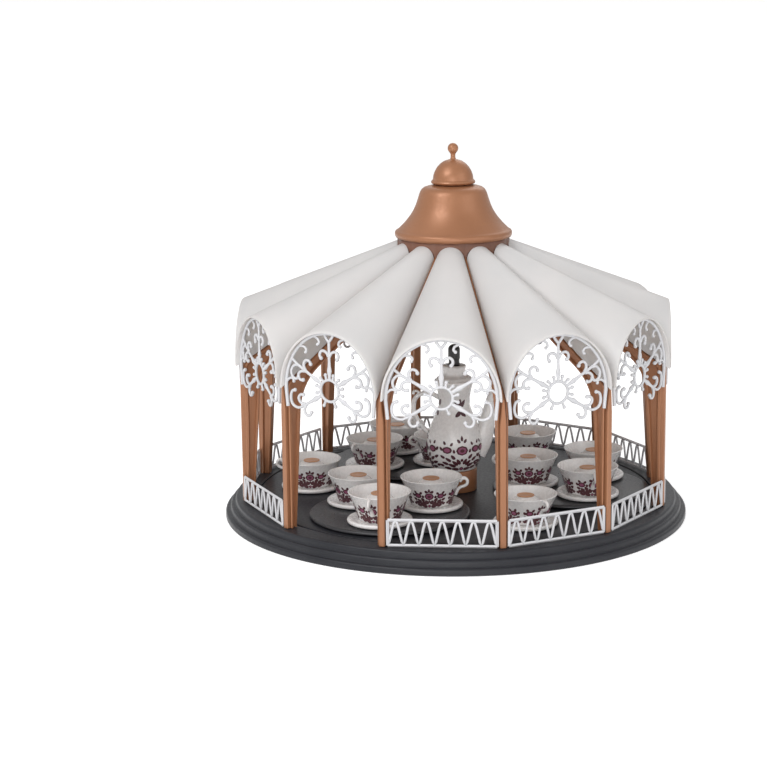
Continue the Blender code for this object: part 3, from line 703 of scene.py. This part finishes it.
def pot_print():
    """Large sprigs on the pot's body and a small one on its neck."""
    shape = ([], [], [])
    for heading in (-71.0, -169.0, 109.0, 11.0):
        turn = math.radians(heading)
        sprig(shape, wrapped(POT_WALL, turn, 17.8 * MM, 3.0), 7.6 * MM, 1.5, 1.5)
        place = wrapped(POT_WALL, turn + NECK_TURN, 38.6 * MM, 2.0)
        for lean in (-0.62, 0.0, 0.62):
            at = (3.2 * MM * math.sin(lean), 5.4 * MM + 1.6 * MM * math.cos(lean))
            petal(shape, place, at, 3.6 * MM, 1.9 * MM, math.pi / 2.0 - lean, DARK)
        for lean in (2.2, -2.2):
            at = (1.5 * MM * math.sin(lean), 2.4 * MM)
            petal(shape, place, at, 3.4 * MM, 1.8 * MM, math.pi / 2.0 - lean, DARK)
        petal(shape, place, (0.0, 4.1 * MM), 1.0 * MM, 1.0 * MM, 0.0, ROSE, 2.0)
    return printed("pot_print", shape)


def stand_drum():
    """The copper drum under the pot."""
    low = bottom_of("pot_stand")
    high = top_of("pot_stand")
    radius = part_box("pot_stand")[1].x
    return turned("stand_drum", [(0.0, low), (radius - 0.1 * MM, low), (radius, low + 0.15 * MM),
                                 (radius, high - 0.5 * MM), (radius - 0.12 * MM, high - 0.18 * MM),
                                 (radius - 0.45 * MM, high), (0.0, high)], 96)


KNOB_RADIUS = 2.45 * MM
KNOB_DOME = 2.2 * MM


def lid_knob():
    """The black knob with its domed top."""
    low = bottom_of("pot_knob")
    high = top_of("pot_knob")
    shoulder = high - KNOB_DOME
    profile = [(0.0, low), (2.15 * MM, low), (2.25 * MM, low + 0.2 * MM), (2.25 * MM, 62.6 * MM),
               (2.3 * MM, 62.9 * MM), (KNOB_RADIUS, 63.1 * MM), (KNOB_RADIUS, shoulder)]
    for j in range(1, 6):
        angle = math.radians(15.0 * j)
        profile.append((KNOB_RADIUS * math.cos(angle), shoulder + KNOB_DOME * math.sin(angle)))
    profile.append((0.0, high))
    return turned("lid_knob", profile, 48)


def coffee_pot():
    """The coffee pot on its stand, with its print and knob."""
    pot = join("coffee_pot_body", [pot_body(), pot_spout()] + pot_handle())
    pot.data.transform(Matrix.Rotation(POT_TURN, 4, "Z"))
    fit_out(pot, "turntable", crockery, "white_plastic", "coffee_pot")
    fit_out(pot_print(), "turntable", None, "white_plastic")
    fit_out(stand_drum(), "turntable", copper, "copper_plastic", "pot_stand")
    fit_out(lid_knob(), "turntable", black, "black_plastic", "pot_knob")


# --------------------------------------------------------------------- ribs

# A canopy's ends: distance from the axis, half width, and the height of its
# springing line and of its crown.
EAVE_DISTANCE = 87.0 * MM
EAVE_HALF = 22.5 * MM
EAVE_SPRING = 64.0 * MM
EAVE_CROWN = 87.8 * MM
TOP_DISTANCE = 22.5 * MM
TOP_HALF = 5.5 * MM
TOP_SPRING = 106.7 * MM
TOP_CROWN = 112.0 * MM
EAVE_CORNER = math.hypot(EAVE_DISTANCE, EAVE_HALF)
TOP_CORNER = math.hypot(TOP_DISTANCE, TOP_HALF)
VALLEY_SLOPE = (TOP_SPRING - EAVE_SPRING) / (EAVE_CORNER - TOP_CORNER)


def valley_z(distance):
    """Height of the valley between two canopies."""
    return EAVE_SPRING + VALLEY_SLOPE * (EAVE_CORNER - distance)


RIB_HALF = 2.15 * MM
RIB_SLIM = 1.6 * MM
WEB_RECESS = 0.95 * MM


def rib_section(outer, seat, inner, ridge):
    """One cross-section: ridge, rebates, flange, recessed web and inner flange."""
    outer = Vector(outer)
    seat = Vector(seat)
    inner = Vector(inner)
    depth = (inner - seat).length
    inward = (inner - seat).normalized()
    crest = outer + (seat - outer) * 0.25
    rebate = seat + inward * 0.75 * MM
    lip = seat + inward * 0.1 * MM
    shoulder = seat + inward * 0.4 * MM
    flange = seat + inward * min(1.35 * MM, 0.25 * depth)
    web_start = seat + inward * min(1.9 * MM, 0.34 * depth)
    web_end = inner - inward * min(1.5 * MM, 0.26 * depth)
    rim = inner - inward * min(1.0 * MM, 0.18 * depth)
    right = [(0.72 * ridge, outer), (ridge, crest), (ridge, seat), (ridge + 0.12 * MM, rebate),
             (ridge + 0.42 * MM, rebate), (ridge + 0.5 * MM, lip), (RIB_HALF - 0.25 * MM, lip),
             (RIB_HALF, shoulder), (RIB_HALF, flange), (RIB_HALF - WEB_RECESS, web_start),
             (RIB_SLIM - WEB_RECESS + 0.2 * MM, web_end), (RIB_SLIM, rim),
             (RIB_SLIM, inner - inward * 0.3 * MM), (RIB_SLIM - 0.3 * MM, inner)]
    points = [(x, -place.x, place.y) for x, place in right]
    points += [(-x, -place.x, place.y) for x, place in reversed(right)]
    return points


POST_FOOT = 8.1 * MM
POST_FACE = 88.0 * MM
POST_SEAT = 86.6 * MM
POST_BACK_LOW = 83.4 * MM
POST_BACK_HIGH = 80.2 * MM
POST_TOP = 55.0 * MM
KNEE_CORNER = Vector((79.0 * MM, 64.5 * MM))
KNEE_END = 71.0 * MM
RAFTER_END = 22.3 * MM
RAFTER_DEPTH = 6.3 * MM
POST_RIDGE = 1.2 * MM
RAFTER_RIDGE = 0.35 * MM
RIDGE_RISE = 0.9 * MM
SEAT_DROP = 0.4 * MM


def knee_section(share):
    """The rib's section at a share of its bend from post to rafter."""
    low = Vector((POST_BACK_HIGH, POST_TOP))
    high = Vector((KNEE_END, valley_z(KNEE_END) - RAFTER_DEPTH))
    inner = (1 - share) ** 2 * low + 2 * share * (1 - share) * KNEE_CORNER + share * share * high
    if share < 0.5:
        z = POST_TOP + (valley_z(POST_FACE) + RIDGE_RISE - POST_TOP) * share * 2.0
        seat_z = min(z, valley_z(POST_SEAT) - SEAT_DROP)
        return rib_section((POST_FACE, z), (POST_SEAT, seat_z), inner, (1.2 - 1.7 * share) * MM)
    distance = POST_FACE - (share - 0.5) * 2.0 * (POST_FACE - KNEE_END)
    top = valley_z(distance)
    seat = (distance - 0.9 * MM * (1 - share), top - SEAT_DROP)
    return rib_section((distance, top + RIDGE_RISE), seat, inner, RAFTER_RIDGE)


def ribs():
    """Twelve ribs: a post with a ridge on its face that bends into a rafter."""
    rows = []
    for i in range(9):
        share = i / 8
        z = POST_FOOT + share * (POST_TOP - POST_FOOT)
        back = POST_BACK_LOW + share * (POST_BACK_HIGH - POST_BACK_LOW)
        rows.append(rib_section((POST_FACE, z), (POST_SEAT, z), (back, z), POST_RIDGE))
    for i in range(1, 7):
        rows.append(knee_section(i / 7))
    for i in range(8):
        distance = KNEE_END + (RAFTER_END - KNEE_END) * i / 7
        top = valley_z(distance)
        rows.append(rib_section((distance, top + RIDGE_RISE), (distance, top - SEAT_DROP),
                                (distance, top - RAFTER_DEPTH), RAFTER_RIDGE))
    pattern = skin("rib", rows, round_rows=True, fill=True, smooth=28.0)
    for k in range(BAYS):
        rib = copy_of(pattern, f"post_and_rafter_{k + 1:02d}", bay_turn(k + 0.5))
        fit_out(rib, "stand", copper, "copper_plastic", f"rib_{k + 1:02d}")
    discard(pattern)


# ----------------------------------------------------------------- canopies

CANOPY_THICK = 0.9 * MM
CANOPY_STEPS = 14
ARCH_STEPS = 40


def arch_point(distance, angle, inset):
    """A point on a canopy at a distance from the axis and an angle over its arch."""
    share = (EAVE_DISTANCE - distance) / (EAVE_DISTANCE - TOP_DISTANCE)
    half = EAVE_HALF + share * (TOP_HALF - EAVE_HALF) - inset
    spring = EAVE_SPRING + share * (TOP_SPRING - EAVE_SPRING)
    crown = EAVE_CROWN + share * (TOP_CROWN - EAVE_CROWN) - inset
    return (half * math.cos(angle), -distance, spring + (crown - spring) * math.sin(angle))


def canopies():
    """Twelve thin vaulted canopies with a rounded front edge."""
    shoulder = EAVE_DISTANCE - 0.4 * MM
    corner = EAVE_DISTANCE - 0.1 * MM
    step = (shoulder - TOP_DISTANCE) / CANOPY_STEPS
    # Distance from the axis and share of the thickness: round the front edge,
    # up the outside and back down the inside.
    runs = [(EAVE_DISTANCE, 0.5), (corner, 0.12)]
    runs += [(shoulder - step * i, 0.0) for i in range(CANOPY_STEPS + 1)]
    runs += [(shoulder - step * i, 1.0) for i in range(CANOPY_STEPS, -1, -1)]
    runs += [(corner, 0.88)]
    rows = []
    for distance, inset in runs:
        rows.append([arch_point(distance, math.pi * j / ARCH_STEPS, inset * CANOPY_THICK)
                     for j in range(ARCH_STEPS + 1)])
    rows.append(rows[0])
    pattern = skin("canopy", rows, fill=True, smooth=50.0)
    for k in range(BAYS):
        sheet = copy_of(pattern, f"vaulted_canopy_{k + 1:02d}", bay_turn(k))
        fit_out(sheet, "stand", milky, "canopy_plastic", f"canopy_{k + 1:02d}")
    discard(pattern)


# ------------------------------------------------------- grilles and fences

PANEL_Y = -85.1 * MM

# In millimetres, in the plane of a bay's panel.
HUB_Z = 65.0
HUB_RING = 4.15
SPOKE_FOOT = 4.4
ARCH_Z = 64.4


def upright(points):
    """Points of (across, height) in millimetres, in the plane of a bay's panel."""
    return [Vector((x * MM, PANEL_Y, z * MM)) for x, z in points]


def stroke(points, radius, steps=4, end=None):
    """A bar along a smooth line in the panel's plane, with a ball at its end if asked."""
    path = smooth_line(upright(points), steps)
    parts = [rod("bar", path, radius * MM)]
    if end:
        parts.append(bead("ball", path[-1], end * MM))
    return parts


def polar(distance, degrees):
    """A point about the grille's hub; degrees run from straight up."""
    angle = math.radians(degrees)
    return (distance * math.sin(angle), HUB_Z + distance * math.cos(angle))


def spoke(degrees, reach):
    """A spoke with a lozenge baluster and a pair of hooks curling back."""
    path = upright([polar(distance, degrees) for distance in (SPOKE_FOOT, 6.0, 7.6, 9.2, 11.0, reach)])
    widths = [0.6 * MM, 0.7 * MM, 1.05 * MM, 0.7 * MM, 0.6 * MM, 0.58 * MM]
    parts = [rod("spoke", path, widths, flat=0.7)]
    angle = math.radians(degrees)
    for turn in (-1.0, 1.0):
        hook = []
        for along, across in ((13.0, 0.3), (14.5, 1.2), (15.1, 2.7), (14.5, 4.0), (13.1, 4.3), (12.2, 3.7)):
            hook.append((along * math.sin(angle) + turn * across * math.cos(angle),
                         HUB_Z + along * math.cos(angle) - turn * across * math.sin(angle)))
        parts += stroke(hook, 0.56, end=0.78)
    return parts


def grille_band():
    """The grille's horseshoe: a slender band inside the canopy's arch."""
    path = [(19.9, 57.0), (20.2, 60.5)]
    for j in range(25):
        angle = math.pi * j / 24
        path.append((20.6 * math.cos(angle), ARCH_Z + 22.4 * math.sin(angle)))
    path += [(-20.2, 60.5), (-19.9, 57.0)]
    return rod("band", upright(path), 0.7 * MM)


def scrolls(side):
    """The fleur at the arch's crown and the scrolls down one side."""
    x, z = polar(16.8, 60.0)
    parts = stroke([(0.0, 83.6), (side * 0.8, 84.5), (side * 1.6, 85.6), (side * 2.1, 86.6)], 0.55)
    parts += stroke([(side * x, z), (side * 16.8, 75.2), (side * 17.8, 76.4)], 0.55)
    parts += stroke([(side * x, z), (side * 16.4, 73.2), (side * 17.9, 71.2), (side * 17.4, 68.8),
                     (side * 15.7, 68.0), (side * 14.6, 69.0)], 0.55, end=0.75)
    parts += stroke([(side * 12.4, 57.8), (side * 15.0, 56.9), (side * 17.6, 58.0), (side * 18.4, 60.6),
                     (side * 17.8, 63.0), (side * 16.4, 63.6)], 0.55, end=0.75)
    return parts


def stamens(side):
    """The short beaded pins between the spokes, on one side."""
    parts = []
    for middle in (30.0, 90.0):
        for lean in (-13.0, 13.0):
            near = polar(SPOKE_FOOT, side * (middle + 0.8 * lean))
            far = polar(6.2, side * (middle + lean))
            parts += stroke([near, far], 0.5, 1, end=0.72)
    near = polar(SPOKE_FOOT, side * 155.0)
    far = polar(6.4, side * 155.0)
    parts += stroke([near, far], 0.5, 1, end=0.72)
    return parts


def crockets(side):
    """The small hooks that hang inside the arch, on one side."""
    parts = []
    for degrees in (20.0, 42.0, 84.0):
        angle = math.radians(degrees)
        root = Vector((side * 20.3 * math.sin(angle), ARCH_Z + 22.1 * math.cos(angle)))
        out = Vector((side * math.cos(angle), -math.sin(angle)))
        inward = Vector((-side * math.sin(angle), -math.cos(angle)))
        tip = [root]
        for along, depth in ((0.9, 0.7), (1.6, 1.7), (1.5, 2.9), (0.6, 3.3)):
            tip.append(root - out * along + inward * depth)
        parts += stroke(tip, 0.5, 3, end=0.66)
    return parts


def grille():
    """The white filigree: band, hub ring, spokes, scrolls, stamens and crockets."""
    turns = [math.tau * j / 32 for j in range(33)]
    ring = [(HUB_RING * math.sin(turn), HUB_Z + HUB_RING * math.cos(turn)) for turn in turns]
    parts = [grille_band(), rod("ring", upright(ring), 0.55 * MM)]
    for degrees, reach in ((0.0, 18.8), (60.0, 17.0), (-60.0, 17.0), (120.0, 14.6), (-120.0, 14.6)):
        parts += spoke(degrees, reach)
    for side in (-1.0, 1.0):
        parts += scrolls(side) + stamens(side) + crockets(side)
    return join("grille", parts)


FENCE_HALF = 20.4
FENCE_LOW = 8.65
FENCE_HIGH = 18.4
WAVES = 7
WAVE_STEPS = 10


def fence():
    """A low fence: a moulded frame with a rail of seven waves."""
    left_low = (-FENCE_HALF, FENCE_LOW)
    right_low = (FENCE_HALF, FENCE_LOW)
    left_high = (-FENCE_HALF, FENCE_HIGH)
    right_high = (FENCE_HALF, FENCE_HIGH)
    parts = []
    for ends in ((left_low, right_low), (left_high, right_high),
                 (left_low, left_high), (right_low, right_high)):
        parts.append(rod("rail", upright(ends), 0.62 * MM, sides=4, flat=0.8))
    wave = []
    for i in range(WAVES * WAVE_STEPS + 1):
        lift = 0.5 - 0.5 * math.cos(math.tau * i / WAVE_STEPS)
        wave.append((-FENCE_HALF + 2.0 * FENCE_HALF * i / (WAVES * WAVE_STEPS),
                     FENCE_LOW + 0.2 + (FENCE_HIGH - FENCE_LOW - 0.5) * lift ** 0.8))
    parts.append(rod("waves", upright(wave), 0.5 * MM, flat=0.85))
    return join("fence", parts)


def grilles_and_fences():
    """Every bay's grille, and the fences of the eleven closed bays."""
    pattern = grille()
    for k in range(BAYS):
        filigree = copy_of(pattern, f"filigree_{k + 1:02d}", bay_turn(k))
        fit_out(filigree, "stand", white, "white_plastic")
    discard(pattern)
    pattern = fence()
    for k in range(BAYS - 1):
        low_fence = copy_of(pattern, f"low_fence_{k + 1:02d}", bay_turn(k))
        fit_out(low_fence, "stand", white, "white_plastic", f"fence_{k + 1:02d}")
    discard(pattern)


# --------------------------------------------------------------------- roof

CROWN_OUTSIDE = 21.9 * MM
CROWN_INSIDE = 20.6 * MM
CROWN_TOP = 113.2 * MM
CROWN_FOOT = 100.8 * MM
SIDES_TO_A_BAY = 16


def crown_ring():
    """The ring under the bell, scalloped over the canopies' ends; its darker copper is painted shade."""
    sides = BAYS * SIDES_TO_A_BAY

    def level(radius, height):
        return ring_points(radius, height, sides, start=-math.pi / 2.0)

    scallop = []
    for i in range(sides):
        bay = (i / SIDES_TO_A_BAY + 0.5) % 1.0 - 0.5
        scallop.append(106.2 + 5.9 * math.sqrt(max(0.0, 1.0 - 4.0 * bay * bay)))
    rows = [level(CROWN_INSIDE, CROWN_TOP), level(22.2 * MM, CROWN_TOP)]
    for radius, lift in ((22.65, 0.5), (22.7, 0.1), (22.6, -0.25), (21.9, -0.3)):
        rows.append([(x, y, (height + lift) * MM)
                     for (x, y, _), height in zip(level(radius * MM, 0.0), scallop)])
    rows += [level(CROWN_OUTSIDE, 104.0 * MM), level(CROWN_OUTSIDE, CROWN_FOOT),
             level(CROWN_INSIDE, CROWN_FOOT), rows[0]]
    return skin("crown_ring", rows, round_rows=True, smooth=30.0)


BALL_RADIUS = 2.16 * MM
BALL_CENTRE = 148.8 * MM


def roof():
    """The bell roof, its crown ring and the finial."""
    bell = turned("bell", millimetres([
        (20.6, 113.0), (22.6, 113.2), (23.3, 113.5), (23.65, 114.1), (23.75, 114.8), (23.65, 115.5),
        (23.3, 116.0), (22.7, 116.3), (22.2, 116.7), (21.3, 117.6), (20.1, 118.8), (18.8, 120.3),
        (17.4, 122.1), (16.1, 124.2), (15.1, 126.4), (14.3, 128.8), (13.7, 130.7), (13.3, 131.7),
        (12.7, 132.6), (11.8, 133.3), (10.2, 133.8), (8.6, 134.1), (8.0, 134.3), (0.0, 134.3),
    ]), 96, smooth=40.0)
    fit_out(bell, "stand", copper, "copper_plastic", "bell_roof")
    # The crown ring is the bell's copper plastic, darkened as painted shade.
    fit_out(crown_ring(), "stand", shaded_copper, "copper_plastic")
    profile = millimetres([
        (0.0, 134.6), (8.04, 134.6), (8.7, 134.9), (8.95, 135.4), (8.7, 136.0), (8.2, 136.4), (8.1, 137.2),
        (7.95, 138.2), (7.4, 139.7), (6.4, 141.4), (5.1, 142.8), (3.6, 143.8), (2.1, 144.3), (1.15, 144.6),
        (0.95, 145.3), (1.0, 146.4), (1.25, 147.0)])
    for j in range(1, 12):
        angle = math.radians(-60.0 + 150.0 * j / 12)
        profile.append((BALL_RADIUS * math.cos(angle), BALL_CENTRE + BALL_RADIUS * math.sin(angle)))
    profile.append((0.0, BALL_CENTRE + BALL_RADIUS))
    fit_out(turned("roof_finial", profile, 64, smooth=40.0), "stand", copper, "copper_plastic", "finial")


# -------------------------------------------------------------------- stage

FLOOR_SIZE = 60.0
FLOOR_GAP = 0.2 * MM
FLOOR_WHITE = (0.93, 0.93, 0.93, 1.0)
FLOOR_GLOW = 0.46
WORLD_STRENGTH = 0.60
AIM = Vector((0.0, 0.0, 60.0 * MM))
# Name, place, size and power of the lamps.
LAMPS = (
    ("key_light", (-0.42, -0.48, 0.72), 0.45, 3.2),
    ("fill_light", (0.62, -0.45, 0.40), 0.60, 1.2),
    ("front_light", (-0.05, -0.85, 0.16), 0.50, 2.3),
    ("back_light", (0.10, 0.62, 0.62), 0.60, 1.2),
)


def calculation(nodes, operation):
    """A Math node."""
    node = nodes.new("ShaderNodeMath")
    node.operation = operation
    return node


def studio_floor():
    """A pale floor that shows white to the camera, in reflections and through the canopies."""
    clear_selection()
    bpy.ops.mesh.primitive_plane_add(size=FLOOR_SIZE, location=(0.0, 0.0, -FLOOR_GAP))
    floor = bpy.context.object
    floor.name = "studio_floor"
    material, nodes, links, shader = new_finish("studio_white")
    shader.inputs["Base Color"].default_value = FLOOR_WHITE
    shader.inputs["Roughness"].default_value = 0.9
    shader.inputs["Specular IOR Level"].default_value = 0.05
    shader.inputs["Emission Color"].default_value = (1.0, 1.0, 1.0, 1.0)
    ray = nodes.new("ShaderNodeLightPath")
    seen = calculation(nodes, "MAXIMUM")
    seen_through = calculation(nodes, "MAXIMUM")
    glow = calculation(nodes, "MULTIPLY")
    glow.inputs[1].default_value = FLOOR_GLOW
    links.new(ray.outputs["Is Camera Ray"], seen.inputs[0])
    links.new(ray.outputs["Is Glossy Ray"], seen.inputs[1])
    links.new(seen.outputs["Value"], seen_through.inputs[0])
    links.new(ray.outputs["Is Transmission Ray"], seen_through.inputs[1])
    links.new(seen_through.outputs["Value"], glow.inputs[0])
    links.new(glow.outputs["Value"], shader.inputs["Emission Strength"])
    floor.data.materials.append(material)
    return floor


def studio_world():
    """Even white light from all round."""
    world = bpy.data.worlds.new("studio_world")
    world.use_nodes = True
    background = world.node_tree.nodes["Background"]
    background.inputs["Color"].default_value = (1.0, 1.0, 1.0, 1.0)
    background.inputs["Strength"].default_value = WORLD_STRENGTH
    bpy.context.scene.world = world


def studio():
    """The floor, the world, a soft key light from the upper left and wide fills."""
    floor = studio_floor()
    studio_world()
    for name, place, size, power in LAMPS:
        lamp = bpy.data.lights.new(name, "AREA")
        lamp.shape = "SQUARE"
        lamp.size = size
        lamp.energy = power
        item = bpy.data.objects.new(name, lamp)
        item.location = place
        item.rotation_euler = (AIM - Vector(place)).to_track_quat("-Z", "Y").to_euler()
        bpy.context.scene.collection.objects.link(item)


ELEVATION = math.radians(12.0)
CAMERA_TURN = math.radians(5.34)
CAMERA_ROLL = math.radians(0.75)
CAMERA_REACH = 785.3 * MM
CAMERA_RIGHT = 29.05 * MM
CAMERA_UP = 7.0 * MM
CAMERA_LENS = 89.85
SENSOR_WIDTH = 36.0


def camera():
    """A long lens a little above the ride, looking down at it."""
    lens = bpy.data.cameras.new("camera")
    lens.lens = CAMERA_LENS
    lens.sensor_width = SENSOR_WIDTH
    item = bpy.data.objects.new("camera", lens)
    forward = Vector((0.0, math.cos(ELEVATION), -math.sin(ELEVATION)))
    up = Vector((0.0, math.sin(ELEVATION), math.cos(ELEVATION)))
    right = Vector((1.0, 0.0, 0.0))
    rolled_right = right * math.cos(CAMERA_ROLL) - up * math.sin(CAMERA_ROLL)
    rolled_up = right * math.sin(CAMERA_ROLL) + up * math.cos(CAMERA_ROLL)
    stance = Matrix((rolled_right, rolled_up, -forward)).transposed().to_4x4()
    stance.translation = AIM - forward * CAMERA_REACH - up * CAMERA_UP - right * CAMERA_RIGHT
    item.matrix_world = Matrix.Rotation(CAMERA_TURN, 4, "Z") @ stance
    bpy.context.scene.collection.objects.link(item)
    bpy.context.scene.camera = item


grey = grey_plastic()
platform_grey = platform_plastic()
copper = copper_plastic()
# The bell's copper darkened as painted shade, for the crown ring under the bell.
shaded_copper = moulded("painted_shade_copper_plastic", (0.12, 0.05, 0.03), (0.20, 0.085, 0.05), 0.45)
white = white_plastic()
crockery = cup_plastic()
# Brighter copper for the cup tables: partly the tables' own paint, partly painted light against the shade
# inside the cups.
lit_table_copper = moulded("table_copper_with_painted_light", (0.50, 0.245, 0.125), (0.57, 0.29, 0.155), 0.42)
milky = canopy_plastic()
black = black_plastic()
can_steel = steel()
rubber = tyre_rubber()
ink_dark = print_ink("ink_maroon", (0.045, 0.010, 0.018), (0.10, 0.030, 0.036))
ink_rose = print_ink("ink_rose", (0.20, 0.045, 0.10), (0.34, 0.11, 0.19))

moulded_base()
floor_disc()
platforms()
teacups()
coffee_pot()
ribs()
canopies()
grilles_and_fences()
roof()
for hidden_node, finish in (("base_plate", grey), ("drive_motor", can_steel), ("drive_wheel", rubber)):
    node_mesh = frame["nodes"][hidden_node].data
    node_mesh.materials.clear()
    node_mesh.materials.append(finish)
studio()
camera()
bpy.context.scene.view_settings.view_transform = "Standard"
